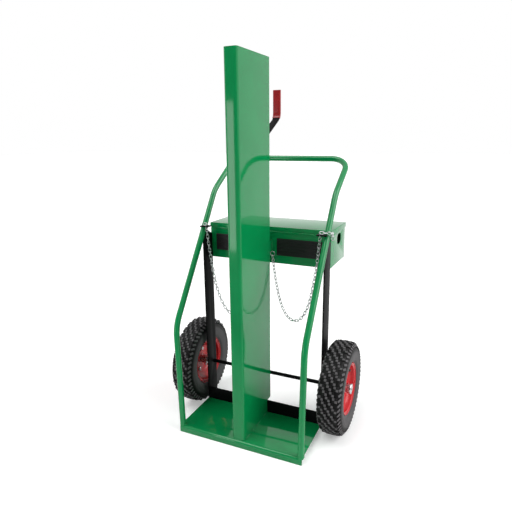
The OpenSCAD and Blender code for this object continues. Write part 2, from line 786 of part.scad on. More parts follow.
// The link in the slot, the one on edge above it, and the spare links that pass in front of the tube and hang
// beside its outer face
grip_in = (link_in - wire_d - link_play) / 2;
half_link = (link_in + wire_d) / 2;
tail_x = slot_x + grip_in;
turn_x = tail_x + 2 * link_pitch + half_link;
hang_y = grip_in + half_link;
hang_z = tail_z + wire_d + link_play / 2 - half_link;
module spare_links() {
    translate([tail_x + link_pitch, 0, tail_z]) rotate([0, 90, 0]) rotate([0, 0, 90]) link();
    translate([tail_x + 2 * link_pitch, 0, tail_z]) rotate([0, 90, 0]) link();
    translate([turn_x, grip_in, tail_z]) rotate([90, 0, 0]) link();
    translate([turn_x, hang_y, hang_z]) rotate([0, 0, 90]) link();
    translate([turn_x, hang_y, hang_z - link_pitch]) link();
}
module end_links(side) {
    color(zinc) from_front() on_side(side) translate([0, slot_y, 0]) {
        translate([slot_x, 0, slot_link_z]) rotate([0, 0, 90]) link();
        translate([tail_x, 0, tail_z]) rotate([0, 90, 0]) link();
        if (side > 0) spare_links();
    }
}
module left_end_links() { end_links(-1); }
module right_end_links() { end_links(1); }

base_plate();
rear_cross_bar();
left_upright();
right_upright();
handle_tube();
firewall_shell();
firewall_rear_channel();
firewall_core();
firewall_top_cap();
firewall_stay();
hose_hook();
hook_sleeve();
toolbox_tray();
toolbox_left_end();
toolbox_right_end();
toolbox_lid();
hinge_fixed_leaf();
hinge_lid_leaf();
hinge_pin();
left_rest_pad();
right_rest_pad();
axle();
left_spacer();
right_spacer();
left_washer();
right_washer();
left_cotter_pin();
right_cotter_pin();
left_hub_cap();
right_hub_cap();
left_tyre();
right_tyre();
left_inner_tube();
right_inner_tube();
left_rim_outer();
right_rim_outer();
left_rim_inner();
right_rim_inner();
left_hub();
right_hub();
left_outer_bearing();
right_outer_bearing();
left_inner_bearing();
right_inner_bearing();
left_rim_bolts();
right_rim_bolts();
left_valve();
right_valve();
left_chain();
right_chain();
left_end_links();
right_end_links();
left_chain_bracket();
right_chain_bracket();
left_chain_eye();
right_chain_eye();
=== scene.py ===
# %% [markdown]
# # A gas cylinder trolley, dressed on its measured frame
# The trolley carries two gas cylinders side by side, with a tall fire barrier between them. Its construction comes
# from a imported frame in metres: +Z is up, the open side faces -Y and the handle is at +Y. This lesson adds what the
# eye wants: rounded folds, smooth bends, block tread, welds and the finishes.

# %% Load the frame
import json
import math
import bpy
from mathutils import Matrix, Vector

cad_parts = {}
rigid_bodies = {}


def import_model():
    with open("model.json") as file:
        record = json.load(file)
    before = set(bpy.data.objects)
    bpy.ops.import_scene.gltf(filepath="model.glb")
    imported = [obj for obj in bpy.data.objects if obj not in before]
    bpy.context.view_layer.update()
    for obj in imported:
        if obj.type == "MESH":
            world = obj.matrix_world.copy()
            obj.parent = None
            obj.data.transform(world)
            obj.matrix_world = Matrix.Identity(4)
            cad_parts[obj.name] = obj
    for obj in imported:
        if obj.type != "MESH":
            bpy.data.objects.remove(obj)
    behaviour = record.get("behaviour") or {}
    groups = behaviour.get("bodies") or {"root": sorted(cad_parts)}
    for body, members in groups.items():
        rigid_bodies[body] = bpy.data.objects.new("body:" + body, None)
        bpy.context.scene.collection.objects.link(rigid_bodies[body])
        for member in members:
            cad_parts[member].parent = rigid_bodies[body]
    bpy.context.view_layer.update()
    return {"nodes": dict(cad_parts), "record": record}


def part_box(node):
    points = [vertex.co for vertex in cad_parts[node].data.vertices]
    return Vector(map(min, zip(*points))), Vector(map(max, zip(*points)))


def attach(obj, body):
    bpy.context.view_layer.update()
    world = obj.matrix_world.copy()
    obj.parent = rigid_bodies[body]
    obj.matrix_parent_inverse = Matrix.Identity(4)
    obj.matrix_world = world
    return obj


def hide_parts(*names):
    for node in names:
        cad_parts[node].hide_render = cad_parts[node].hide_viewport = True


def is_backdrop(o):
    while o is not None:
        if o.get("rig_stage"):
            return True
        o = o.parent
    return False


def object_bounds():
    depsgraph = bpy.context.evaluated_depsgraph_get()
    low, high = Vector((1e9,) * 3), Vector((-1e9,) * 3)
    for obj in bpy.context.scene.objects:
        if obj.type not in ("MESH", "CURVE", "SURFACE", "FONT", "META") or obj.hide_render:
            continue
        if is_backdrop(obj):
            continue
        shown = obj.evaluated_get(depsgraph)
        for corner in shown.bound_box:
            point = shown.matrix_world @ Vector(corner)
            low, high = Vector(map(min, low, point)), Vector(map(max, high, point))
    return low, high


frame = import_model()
scene = bpy.context.scene
scene.view_settings.view_transform = "Standard"

# %% [markdown]
# ## Camera
# The camera stands to the right of the trolley and a little below its top, and looks down along it. Its place and
# turn are written as a point and three angles, which is easier to read than a rotation copied from the viewport.

# %% Camera
CAMERA_PLACE = Vector((0.7992, -1.8111, 1.2506))
YAW = math.radians(24.92)
PITCH = math.radians(-14.21)
ROLL = math.radians(-0.64)
LENS_MM = 33.39
SENSOR_MM = 36
ahead = Vector((-math.sin(YAW) * math.cos(PITCH), math.cos(YAW) * math.cos(PITCH), math.sin(PITCH)))
level = Vector((math.cos(YAW), math.sin(YAW), 0))
upward = level.cross(ahead)
to_right = level * math.cos(ROLL) + upward * math.sin(ROLL)
to_top = upward * math.cos(ROLL) - level * math.sin(ROLL)
bpy.ops.object.camera_add(location=CAMERA_PLACE)
camera = bpy.context.object
camera.name = "camera"
camera.rotation_euler = Matrix((to_right, to_top, -ahead)).transposed().to_euler()
camera.data.lens = LENS_MM
camera.data.sensor_width = SENSOR_MM
scene.camera = camera
print("camera at", tuple(round(c, 3) for c in camera.location))

# %% [markdown]
# ## Finishes
# Every finish is a small node tree on Object coordinates, so it stays on its piece when a wheel turns or the lid
# opens. A helper adds a node and fills or links its sockets, so that each finish reads as a short recipe.

# %% Helpers for node trees
def feed(tree, socket, value):
    """Gives a socket a value, or links the output of another node to it."""
    if isinstance(value, bpy.types.NodeSocket):
        tree.links.new(value, socket)
    else:
        socket.default_value = value


def add(tree, kind, **sockets):
    """Adds a shader node. A socket takes a value, or the output of another node."""
    node = tree.nodes.new("ShaderNode" + kind)
    for name, value in sockets.items():
        feed(tree, node.inputs[name.replace("_", " ")], value)
    return node


def calc(tree, operation, first, second=0.0):
    """The result of a math node on two values or outputs."""
    node = add(tree, "Math")
    node.operation = operation
    for socket, value in zip(node.inputs, (first, second)):
        feed(tree, socket, value)
    return node.outputs["Value"]


def new_finish(name):
    """A material with its shader and the Object coordinates that its patterns read."""
    material = bpy.data.materials.new(name)
    material.use_nodes = True
    tree = material.node_tree
    place = add(tree, "TexCoord").outputs["Object"]
    return material, tree, tree.nodes["Principled BSDF"], place


def two_tones(tree, amount, dark, light):
    """Turns an amount from 0 to 1 into a colour between two tones."""
    ramp = add(tree, "ValToRGB", Fac=amount)
    ramp.color_ramp.elements[0].position = 0.35
    ramp.color_ramp.elements[0].color = (*dark, 1)
    ramp.color_ramp.elements[1].position = 0.65
    ramp.color_ramp.elements[1].color = (*light, 1)
    return ramp.outputs["Color"]


def spread(tree, amount, low, high):
    """Maps an amount from 0 to 1 onto a range."""
    return add(tree, "MapRange", Value=amount, To_Min=low, To_Max=high).outputs["Result"]


# %% [markdown]
# ### Paint
# The steel is coated in thick glossy paint. Up close such a coat is never one colour: its tone drifts a little, its
# gloss is uneven, it has the fine waves called orange peel, and long sheets sway a little under it. A picture could
# show all that, but it would need a UV map and would blur up close. Three noises show it at any distance.

# %% Paint
def paint(name, dark, light, gloss, shine, peel, sway):
    """Thick glossy paint: drifting tone, uneven gloss, fine peel and the long sway of the sheet."""
    material, tree, shader, place = new_finish(name)
    drift = add(tree, "TexNoise", Vector=place, Scale=5, Detail=3).outputs["Fac"]
    grain = add(tree, "TexNoise", Vector=place, Scale=420, Detail=2).outputs["Fac"]
    swell = add(tree, "TexNoise", Vector=place, Scale=3, Detail=1).outputs["Fac"]
    long_waves = add(tree, "Bump", Height=swell, Strength=sway, Distance=0.004).outputs["Normal"]
    waves = add(tree, "Bump", Height=grain, Strength=peel, Distance=0.0004, Normal=long_waves).outputs["Normal"]
    tree.links.new(two_tones(tree, drift, dark, light), shader.inputs["Base Color"])
    tree.links.new(spread(tree, drift, gloss, gloss * 1.6), shader.inputs["Roughness"])
    tree.links.new(waves, shader.inputs["Normal"])
    shader.inputs["Specular IOR Level"].default_value = shine
    return material


finishes = {
    "green_paint": paint("green_paint", (0.0012, 0.21, 0.058), (0.002, 0.24, 0.068), 0.05, 0.45, 0.04, 0.1),
    "black_paint": paint("black_paint", (0.003, 0.003, 0.0033), (0.005, 0.005, 0.0055), 0.34, 0.05, 0.12, 0.05),
    "red_paint": paint("red_paint", (0.5, 0.006, 0.011), (0.58, 0.009, 0.015), 0.2, 0.4, 0.1, 0),
}
print("paints:", list(finishes))

# %% [markdown]
# ### Zinc, rubber, vinyl and the barrier's core
# Zinc plate is a metal with a faint crystal pattern. Rubber and vinyl are dull coatings with a fine grain. A used
# tyre is grey on its sidewalls. Between its tread blocks and low on their walls it is painted black as shade, and the
# tops of the blocks are lighter, partly scuffed and partly a painted highlight. Those tones could be painted by hand,
# but a formula finds every block by itself: the tone follows the height over the carcass. That height is
# measured from the crown, and from the slanted shoulder beside it.

# %% Zinc, rubber and vinyl
def zinc(name):
    """Bright zinc plate: a metal whose crystals differ a little in tone and gloss."""
    material, tree, shader, place = new_finish(name)
    crystal = add(tree, "TexVoronoi", Vector=place, Scale=160).outputs["Color"]
    amount = add(tree, "RGBToBW", Color=crystal).outputs["Val"]
    tree.links.new(two_tones(tree, amount, (0.56, 0.57, 0.58), (0.78, 0.79, 0.8)), shader.inputs["Base Color"])
    tree.links.new(spread(tree, amount, 0.18, 0.36), shader.inputs["Roughness"])
    shader.inputs["Metallic"].default_value = 1
    return material


def dull(name, dark, light, gloss, grain_scale, grain):
    """Rubber, vinyl or mineral: a dull coat of two close tones with a fine grain."""
    material, tree, shader, place = new_finish(name)
    cloud = add(tree, "TexNoise", Vector=place, Scale=18, Detail=4).outputs["Fac"]
    fine = add(tree, "TexNoise", Vector=place, Scale=grain_scale, Detail=3).outputs["Fac"]
    bumps = add(tree, "Bump", Height=fine, Strength=grain, Distance=0.0006).outputs["Normal"]
    tree.links.new(two_tones(tree, cloud, dark, light), shader.inputs["Base Color"])
    tree.links.new(spread(tree, cloud, gloss, gloss * 1.25), shader.inputs["Roughness"])
    tree.links.new(bumps, shader.inputs["Normal"])
    return material


# The carcass: its radius at the crown, a point on its shoulder and the shoulder's slant
CROWN_R = 0.193
SHOULDER = Vector((0.04225, 0, 0.1825))
SHOULDER_TURN = math.atan2(0.021, 0.0145)
# Tones by their share of the way between two heights over the carcass: the low black tones are painted shade,
# the high light ones on the block tops are partly scuff and partly painted highlight
TONES_FROM = -0.02
TONES_TO = 0.01
TYRE_TONES_WITH_PAINTED_SHADE = (
    (0, 0.07), (0.4, 0.066), (0.5, 0.03), (0.6, 0.004), (0.73, 0.003), (0.76, 0.05), (0.8, 0.1), (0.9, 0.12))


def tyre_rubber(name, wheel):
    """Rubber that is grey on the sidewalls, painted black as shade between the tread blocks and lighter on their tops,
    partly scuffed and partly a painted highlight.
    """
    material, tree, shader, place = new_finish(name)
    x, y, z = add(tree, "SeparateXYZ", Vector=place).outputs
    across = calc(tree, "ABSOLUTE", calc(tree, "SUBTRACT", calc(tree, "ABSOLUTE", x), wheel.x))
    spoke = add(tree, "CombineXYZ", Y=calc(tree, "SUBTRACT", y, wheel.y), Z=calc(tree, "SUBTRACT", z, wheel.z))
    length = add(tree, "VectorMath", Vector=spoke.outputs["Vector"])
    length.operation = "LENGTH"
    reach = length.outputs["Value"]
    over_crown = calc(tree, "SUBTRACT", reach, CROWN_R)
    outwards = calc(tree, "MULTIPLY", calc(tree, "SUBTRACT", across, SHOULDER.x), math.sin(SHOULDER_TURN))
    upwards = calc(tree, "MULTIPLY", calc(tree, "SUBTRACT", reach, SHOULDER.z), math.cos(SHOULDER_TURN))
    height = calc(tree, "MAXIMUM", over_crown, calc(tree, "ADD", outwards, upwards))
    share = add(tree, "MapRange", Value=height, From_Min=TONES_FROM, From_Max=TONES_TO).outputs["Result"]
    # Low over the carcass the tone is painted shade, and on the block tops it is partly a painted highlight
    ramp = add(tree, "ValToRGB", Fac=share)
    stops = ramp.color_ramp.elements
    for at, tone in TYRE_TONES_WITH_PAINTED_SHADE:
        stop = stops.new(at)
        stop.color = (tone, tone * 0.96, tone, 1)
    stops.remove(stops[-1])
    stops.remove(stops[0])
    fine = add(tree, "TexNoise", Vector=place, Scale=300, Detail=3).outputs["Fac"]
    bumps = add(tree, "Bump", Height=fine, Strength=0.25, Distance=0.0006).outputs["Normal"]
    tree.links.new(ramp.outputs["Color"], shader.inputs["Base Color"])
    tree.links.new(spread(tree, fine, 0.42, 0.66), shader.inputs["Roughness"])
    tree.links.new(bumps, shader.inputs["Normal"])
    shader.inputs["Specular IOR Level"].default_value = 0.2
    return material


tyre_low, tyre_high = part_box("right_tyre")
finishes["zinc_steel"] = zinc("zinc_steel")
finishes["tyre_rubber"] = tyre_rubber("tyre_rubber", (tyre_low + tyre_high) / 2)
finishes["tube_rubber"] = dull("tube_rubber", (0.008, 0.008, 0.008), (0.012, 0.012, 0.012), 0.5, 200, 0.1)
finishes["pad_rubber"] = dull("pad_rubber", (0.006, 0.005, 0.006), (0.01, 0.009, 0.01), 0.5, 300, 0.3)
finishes["red_vinyl"] = dull("red_vinyl", (0.24, 0.004, 0.006), (0.32, 0.006, 0.009), 0.28, 120, 0.12)
finishes["mineral_core"] = dull("mineral_core", (0.6, 0.57, 0.5), (0.7, 0.67, 0.6), 0.8, 90, 0.5)
for part in frame["record"]["subparts"]:
    surface = frame["nodes"][part["node"]].data
    surface.materials.clear()
    surface.materials.append(finishes[part["material_slot"]])
print("finishes:", list(finishes))

# %% [markdown]
# ## Working by hand in code
# An operator acts on whatever is selected, so each piece starts from a clean selection. Faces and edges are then
# picked by where they are and which way they point, just as one would click on them.

# %% Helpers for modelling
MERGE = 0.00001
SMOOTH_BELOW = math.radians(35)


def start_clean():
    """Leaves edit mode and deselects everything."""
    if bpy.context.object and bpy.context.object.mode != "OBJECT":
        bpy.ops.object.mode_set(mode="OBJECT")
    bpy.ops.object.select_all(action="DESELECT")


def settle(piece):
    """Leaves edit mode, makes a piece the only selected one and puts its place into its mesh."""
    start_clean()
    piece.select_set(True)
    bpy.context.view_layer.objects.active = piece
    bpy.ops.object.transform_apply(location=True, rotation=True, scale=True)
    return piece


def block(name, low, high):
    """A cube primitive between two corners."""
    start_clean()
    bpy.ops.mesh.primitive_cube_add(size=1, location=(low + high) / 2, scale=high - low)
    bpy.context.object.name = name
    return settle(bpy.context.object)


def pick(piece, kind, test):
    """Opens edit mode with those faces or edges selected whose middle and direction pass the test."""
    settle(piece)
    bpy.ops.object.mode_set(mode="EDIT")
    bpy.ops.mesh.select_mode(type=kind)
    bpy.ops.mesh.select_all(action="DESELECT")
    bpy.ops.object.mode_set(mode="OBJECT")
    points = piece.data.vertices
    for face in piece.data.polygons if kind == "FACE" else ():
        face.select = test(face.center, face.normal)
    for edge in piece.data.edges if kind == "EDGE" else ():
        ends = [points[i].co for i in edge.vertices]
        edge.select = test((ends[0] + ends[1]) / 2, (ends[1] - ends[0]).normalized())
    bpy.ops.object.mode_set(mode="EDIT")


def pick_all(piece):
    """Opens edit mode with the whole piece selected."""
    settle(piece)
    bpy.ops.object.mode_set(mode="EDIT")
    bpy.ops.mesh.select_all(action="SELECT")


def apply_modifier(piece, kind, **settings):
    """Adds a modifier, sets it and applies it."""
    settle(piece)
    modifier = piece.modifiers.new(kind.lower(), kind)
    for name, value in settings.items():
        setattr(modifier, name, value)
    bpy.ops.object.modifier_apply(modifier=modifier.name)


def joined(pieces):
    """Joins pieces into the first of them."""
    start_clean()
    for piece in pieces:
        piece.select_set(True)
    bpy.context.view_layer.objects.active = pieces[0]
    bpy.ops.object.join()
    return pieces[0]


def hand_over(piece, slot, body, *stands_for):
    """Shades a finished piece, gives it its finish and lets it ride on its body."""
    settle(piece)
    bpy.ops.object.shade_smooth_by_angle(angle=SMOOTH_BELOW)
    piece.data.materials.clear()
    piece.data.materials.append(finishes[slot])
    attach(piece, body)
    if stands_for:
        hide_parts(*stands_for)
    print(piece.name, "on", body, "faces:", len(piece.data.polygons))


# %% [markdown]
# ## Bars, plates and turned parts
# Flat bars and turned parts already have the right shape in the frame, but with knife-sharp edges. A real edge is
# broken or thick with paint and catches the light. Modelling them again would only repeat the frame, so a copy of the
# solid is merged, its flat faces are joined again and every hard edge gets a narrow bevel.

# %% Softened copies
FLAT_WITHIN = math.radians(2)
HARD_FROM = math.radians(40)
BAR_EDGE = 0.0012
SHEET_EDGE = 0.0007


def soften(node, name, width, slot, body):
    """A copy of a frame solid with its hard edges rounded."""
    start_clean()
    source = frame["nodes"][node]
    source.select_set(True)
    bpy.context.view_layer.objects.active = source
    bpy.ops.object.duplicate()
    piece = bpy.context.object
    piece.name = name
    bpy.ops.object.parent_clear(type="CLEAR_KEEP_TRANSFORM")
    # The copy is a piece of its own, so it drops the marks of the frame's node
    for key in [k for k in piece.keys() if k.startswith("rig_")]:
        del piece[key]
    pick_all(piece)
    bpy.ops.mesh.remove_doubles(threshold=MERGE)
    bpy.ops.mesh.dissolve_limited(angle_limit=FLAT_WITHIN)
    apply_modifier(piece, "BEVEL", width=width, segments=3, limit_method="ANGLE", angle_limit=HARD_FROM)
    hand_over(piece, slot, body, node)


soften("rear_cross_bar", "rear_bar", BAR_EDGE, "black_paint", "frame")
soften("left_upright", "left_upright_bar", BAR_EDGE, "black_paint", "frame")
soften("right_upright", "right_upright_bar", BAR_EDGE, "black_paint", "frame")

# %% [markdown]
# ## Base plate
# The floor of the trolley is a steel plate with its front edge bent down to the ground. Two thick blocks could meet
# at the bend, but a bent plate is as thick there as elsewhere. So it starts as a block of which only the top and the
# front are kept. A bevel makes the bend and Solidify gives the plate its thickness.

# %% Base plate
PLATE = 0.006
LIP_BEND = 0.010
base_low, base_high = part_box("base_plate")
front = base_low.y
base = block("base_floor", base_low, base_high)
pick(base, "FACE", lambda middle, normal: normal.z < 0.9 and normal.y > -0.9)
bpy.ops.mesh.delete(type="FACE")
pick(base, "EDGE", lambda middle, along: middle.y < front + PLATE and middle.z > base_high.z - PLATE)
bpy.ops.mesh.bevel(offset=LIP_BEND, segments=8, affect="EDGES")
apply_modifier(base, "SOLIDIFY", thickness=PLATE, offset=-1)
apply_modifier(base, "BEVEL", width=SHEET_EDGE, segments=2, limit_method="ANGLE", angle_limit=math.radians(50))
hand_over(base, "green_paint", "frame", "base_plate")

# %% [markdown]
# ## Handle tube
# One long tube makes both legs, both rails and the push bar. A curve with a round bevel could follow its line, but its
# handles only come near to a true arc. So a circle at the foot is pulled along each straight and spun round the middle
# of each bend, as a bending machine does. Spin turns against the right-hand rule, so its axis is given reversed. The
# feet are cut to the plate's bend, so they reach a plate's thickness down.

# %% Handle tube
TUBE_R = 0.0127
FOOT_X = 0.272
LOW_BEND_Z = 0.486
HIGH_BEND_Z = 1.016
HIGH_BEND_FROM_FRONT = 0.372
BEND_R = 0.15
CORNER_R = 0.08
TUBE_SIDES = 32
BEND_STEPS = 18
tube_low, tube_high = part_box("handle_tube")
rail_x = tube_high.x - TUBE_R
leg_y = tube_low.y + TUBE_R
push_y = tube_high.y - TUBE_R
push_z = tube_high.z - TUBE_R


def mirrored(point):
    """The same place on the other side of the trolley."""
    return Vector((-point.x, point.y, point.z))


right_leg = [
    Vector((FOOT_X, leg_y, base_high.z - PLATE)),
    Vector((rail_x, leg_y, LOW_BEND_Z)),
    Vector((rail_x, front + HIGH_BEND_FROM_FRONT, HIGH_BEND_Z)),
    Vector((rail_x, push_y, push_z)),
]
tube_corners = right_leg + [mirrored(point) for point in reversed(right_leg)]
tube_radii = [BEND_R, BEND_R, CORNER_R, CORNER_R, BEND_R, BEND_R]
start_clean()
first_way = (tube_corners[1] - tube_corners[0]).normalized()
bpy.ops.mesh.primitive_circle_add(
    vertices=TUBE_SIDES, radius=TUBE_R, location=tube_corners[0],
    rotation=first_way.to_track_quat("Z", "Y").to_euler())
tube = settle(bpy.context.object)
tube.name = "handle"
pick_all(tube)
here = tube_corners[0]
for before, corner, after, radius in zip(tube_corners, tube_corners[1:], tube_corners[2:], tube_radii):
    back = (before - corner).normalized()
    onward = (after - corner).normalized()
    half = back.angle(onward) / 2
    start = corner + back * radius / math.tan(half)
    centre = corner + (back + onward).normalized() * radius / math.sin(half)
    bpy.ops.mesh.extrude_region_move(TRANSFORM_OT_translate={"value": start - here})
    bpy.ops.mesh.spin(steps=BEND_STEPS, angle=math.pi - 2 * half, center=centre, axis=back.cross(onward))
    here = corner + onward * radius / math.tan(half)
bpy.ops.mesh.extrude_region_move(TRANSFORM_OT_translate={"value": tube_corners[-1] - here})
pick_all(tube)
bpy.ops.mesh.remove_doubles(threshold=MERGE)
bpy.ops.mesh.fill_holes(sides=TUBE_SIDES)
bpy.ops.mesh.normals_make_consistent(inside=False)
hand_over(tube, "green_paint", "frame", "handle_tube")

# %% [markdown]
# ## Fire barrier
# The barrier is one sheet folded round its front into a deep channel. Three flat walls could be set together, but the
# real corners are round folds. So it starts as a block with its rear, top and bottom taken off, the two front edges
# get the bend, and Solidify gives the sheet its thickness. A block round the bar across the base then cuts the notch
# at its foot.

# %% Fire barrier
SHEET = 0.002
FOLD_R = 0.011
NOTCH_GAP = 0.0003
NOTCH_REACH = 0.1
shell_low, shell_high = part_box("firewall_shell")
bar_low, bar_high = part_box("rear_cross_bar")
barrier = block("fire_barrier", shell_low, shell_high)
pick(barrier, "FACE", lambda middle, normal: normal.y > 0.9 or abs(normal.z) > 0.9)
bpy.ops.mesh.delete(type="FACE")
pick(barrier, "EDGE", lambda middle, along: abs(along.z) > 0.9 and middle.y < shell_low.y + SHEET)
bpy.ops.mesh.bevel(offset=FOLD_R, segments=10, affect="EDGES")
apply_modifier(barrier, "SOLIDIFY", thickness=SHEET, offset=-1)
notch_low = Vector((-NOTCH_REACH, bar_low.y - NOTCH_GAP, 0))
notch_high = Vector((NOTCH_REACH, shell_high.y + NOTCH_REACH, bar_high.z + NOTCH_GAP))
cutter = block("notch", notch_low, notch_high)
apply_modifier(barrier, "BOOLEAN", object=cutter, operation="DIFFERENCE", solver="EXACT")
bpy.data.objects.remove(cutter)
hand_over(barrier, "green_paint", "frame", "firewall_shell")
soften("firewall_top_cap", "barrier_cap", SHEET_EDGE, "green_paint", "frame")
soften("firewall_rear_channel", "barrier_back", SHEET_EDGE, "green_paint", "frame")
soften("firewall_stay", "barrier_stay", BAR_EDGE, "green_paint", "frame")

# %% [markdown]
# ## Toolbox
# The tray and its end plates are folded sheet, and their copies only need rounder edges. The lid shows most, and a
# narrow bevel on its copy would be too sharp for a fold. So it is made again: a block with its underside taken off,
# round folds on every side and a sheet's thickness.

# %% Toolbox
LID_FOLD = 0.003
for node, name in (("toolbox_tray", "box_tray"), ("toolbox_left_end", "box_left_end"),
                   ("toolbox_right_end", "box_right_end")):
    soften(node, name, SHEET_EDGE, "green_paint", "frame")
lid_low, lid_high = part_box("toolbox_lid")
lid = block("box_lid", lid_low, lid_high)
pick(lid, "FACE", lambda middle, normal: normal.z < -0.9)
bpy.ops.mesh.delete(type="FACE")
pick(lid, "EDGE", lambda middle, along: middle.z > lid_low.z + LID_FOLD)
bpy.ops.mesh.bevel(offset=LID_FOLD, segments=5, affect="EDGES")
apply_modifier(lid, "SOLIDIFY", thickness=SHEET, offset=-1)
hand_over(lid, "green_paint", "lid", "toolbox_lid")

# %% [markdown]
# ## Rest pads
# A black rubber pad on the front of the toolbox keeps each cylinder off the paint. It has round edges and shallow
# grooves. Bump could draw the grooves, but a mesh shows them from every side, so they are cut by insetting strips of
# its face and pushing them in.

# %% Rest pads
PAD_ROUND = 0.002
GROOVES = 6
GROOVE_DEEP = 0.0012
GROOVE_SLOPE = 0.0008
for side_name in ("left", "right"):
    low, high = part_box(side_name + "_rest_pad")
    pad = block(side_name + "_pad", low, high)
    pick(pad, "EDGE", lambda middle, along: abs(along.y) < 0.1 and middle.y < low.y + PAD_ROUND)
    bpy.ops.mesh.bevel(offset=PAD_ROUND, segments=4, affect="EDGES")
    step = (high.z - low.z) / GROOVES
    for k in range(1, GROOVES):
        for edge_z in (low.z + k * step - PAD_ROUND, low.z + k * step + PAD_ROUND):
            pick_all(pad)
            bpy.ops.mesh.bisect(plane_co=(0, 0, edge_z), plane_no=(0, 0, 1))

    def in_groove(middle, normal):
        """Whether a face is one of the narrow strips."""
        along = (middle.z - low.z) / step
        return normal.y < -0.9 and 0.5 < along < GROOVES - 0.5 and abs(along - round(along)) < 0.3 * PAD_ROUND / step

    pick(pad, "FACE", in_groove)
    bpy.ops.mesh.inset(thickness=GROOVE_SLOPE, depth=-GROOVE_DEEP, use_boundary=True)
    hand_over(pad, "pad_rubber", "frame", side_name + "_rest_pad")

# %% [markdown]
# ## Hinge leaves and chain brackets
# The lid turns on two leaves, and the outer end of each chain hooks into a bracket on the rail. Such small fittings
# could be modelled again, but only sharp edges would give the frame's solids away. So their copies are softened, as
# the bars are.

# %% Small fittings
soften("hinge_fixed_leaf", "hinge_low_leaf", SHEET_EDGE, "green_paint", "frame")
soften("hinge_lid_leaf", "hinge_top_leaf", SHEET_EDGE, "green_paint", "lid")
for side_name in ("left", "right"):
    soften(side_name + "_chain_bracket", side_name + "_bracket", SHEET_EDGE, "black_paint", "frame")

# %% [markdown]
# ## Hose hook
# A flat bar carries coiled hoses behind the barrier. Its tip wears a dipped red sleeve, soft at every edge. A thickened
# copy of the bar could stand for it, but it would keep the bar's square corners. So the sleeve is a flat outline with
# round corners, pulled down along the bar and spun a little way round its bend.

# %% Hose hook
SLEEVE_ROUND = 0.0035
SLEEVE_EDGE = 0.0016
SLEEVE_WALL = 0.002
HOOK_BEND_R = 0.04
HOOK_BEND_TOP = 1.3459
SLEEVE_BEND = math.radians(39)
soften("hose_hook", "hook_bar", BAR_EDGE, "black_paint", "frame")
sleeve_low, sleeve_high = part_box("hook_sleeve")
hook_low, hook_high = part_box("hose_hook")
hook_y = hook_high.y - PLATE / 2
start_clean()
bpy.ops.mesh.primitive_plane_add(size=1, location=(0, hook_y, sleeve_high.z))
bpy.context.object.scale = (sleeve_high.x - sleeve_low.x, PLATE + 2 * SLEEVE_WALL, 1)
sleeve = settle(bpy.context.object)
sleeve.name = "hook_grip"
pick_all(sleeve)
bpy.ops.mesh.bevel(offset=SLEEVE_ROUND, segments=4, affect="VERTICES")
bpy.ops.mesh.select_all(action="SELECT")
bpy.ops.mesh.extrude_region_move(TRANSFORM_OT_translate={"value": (0, 0, HOOK_BEND_TOP - sleeve_high.z)})
bpy.ops.mesh.spin(steps=8, angle=SLEEVE_BEND, center=(0, hook_y - HOOK_BEND_R, HOOK_BEND_TOP), axis=(1, 0, 0))
bpy.ops.mesh.select_all(action="SELECT")
bpy.ops.mesh.remove_doubles(threshold=MERGE)
bpy.ops.mesh.normals_make_consistent(inside=False)
apply_modifier(sleeve, "BEVEL", width=SLEEVE_EDGE, segments=3, limit_method="ANGLE", angle_limit=math.radians(60))
hand_over(sleeve, "red_vinyl", "frame", "hook_sleeve")

# %% [markdown]
# ## Welds
# The frame is welded together, and a weld is a row of overlapping beads under the paint. Bump could draw the beads,
# but they show most where they stand out from a corner, so they are meshes. One small sphere of few faces is repeated
# along a line with Array, or round a tube with Spin. The feet stand at the plate's very edge, so their rings sit a
# little back.

# %% Welds
BEAD_R = 0.0023
BEAD_STEP = 0.0028


def bead(place):
    """One bead of a weld."""
    start_clean()
    bpy.ops.mesh.primitive_uv_sphere_add(segments=8, ring_count=6, radius=BEAD_R, location=place)
    return settle(bpy.context.object)


def weld_line(start, end):
    """Beads from one point to another."""
    run = end - start
    count = round(run.length / BEAD_STEP) + 1
    line = bead(start)
    apply_modifier(line, "ARRAY", count=count, use_relative_offset=False, use_constant_offset=True,
                   constant_offset_displace=run / (count - 1))
    return line


def weld_ring(centre, radius, axis):
    """Beads round a tube or bar."""
    ring = bead(centre + axis.orthogonal().normalized() * radius)
    count = round(math.tau * radius / BEAD_STEP)
    pick_all(ring)
    bpy.ops.mesh.spin(
        steps=count - 1, dupli=True, angle=math.tau * (count - 1) / count, center=centre, axis=axis)
    bpy.ops.object.mode_set(mode="OBJECT")
    return ring


def stitches(start, end, count, length):
    """Short welds spread evenly over a joint."""
    way = (end - start).normalized()
    gap = ((end - start).length - length) / (count - 1)
    return [weld_line(start + way * gap * k, start + way * (gap * k + length)) for k in range(count)]


def welded(name, beads, slot):
    """Joins the beads of one group into a piece of the frame."""
    beads[0].name = name
    hand_over(joined(beads), slot, "frame")


# %% Welds of the base
RING_BACK = 0.002
STITCHES = 4
STITCH = 0.03
STITCHED_FROM_FRONT = (0.03, 0.235)
FRONT_WELD = 0.012
rise = base_high.z
beads = []
for side in (-1, 1):
    beads.append(weld_ring(Vector((side * FOOT_X, leg_y + RING_BACK, rise)), TUBE_R, Vector((0, 0, 1))))
    foot_line = [Vector((side * shell_high.x, front + at, rise)) for at in STITCHED_FROM_FRONT]
    beads += stitches(*foot_line, STITCHES, STITCH)
beads.append(weld_line(*[Vector((end, shell_low.y, rise)) for end in (-FRONT_WELD, FRONT_WELD)]))
welded("base_welds", beads, "green_paint")

# %% Welds of the stay
stay_low, stay_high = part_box("firewall_stay")
beads = []
for face_y in (stay_low.y, stay_high.y):
    for side in (-1, 1):
        beads.append(weld_line(*[Vector((side * stay_high.x, face_y, z)) for z in (stay_low.z, stay_high.z)]))
    beads.append(weld_line(*[Vector((x, face_y, stay_high.z)) for x in (stay_low.x, stay_high.x)]))
welded("stay_welds", beads, "green_paint")

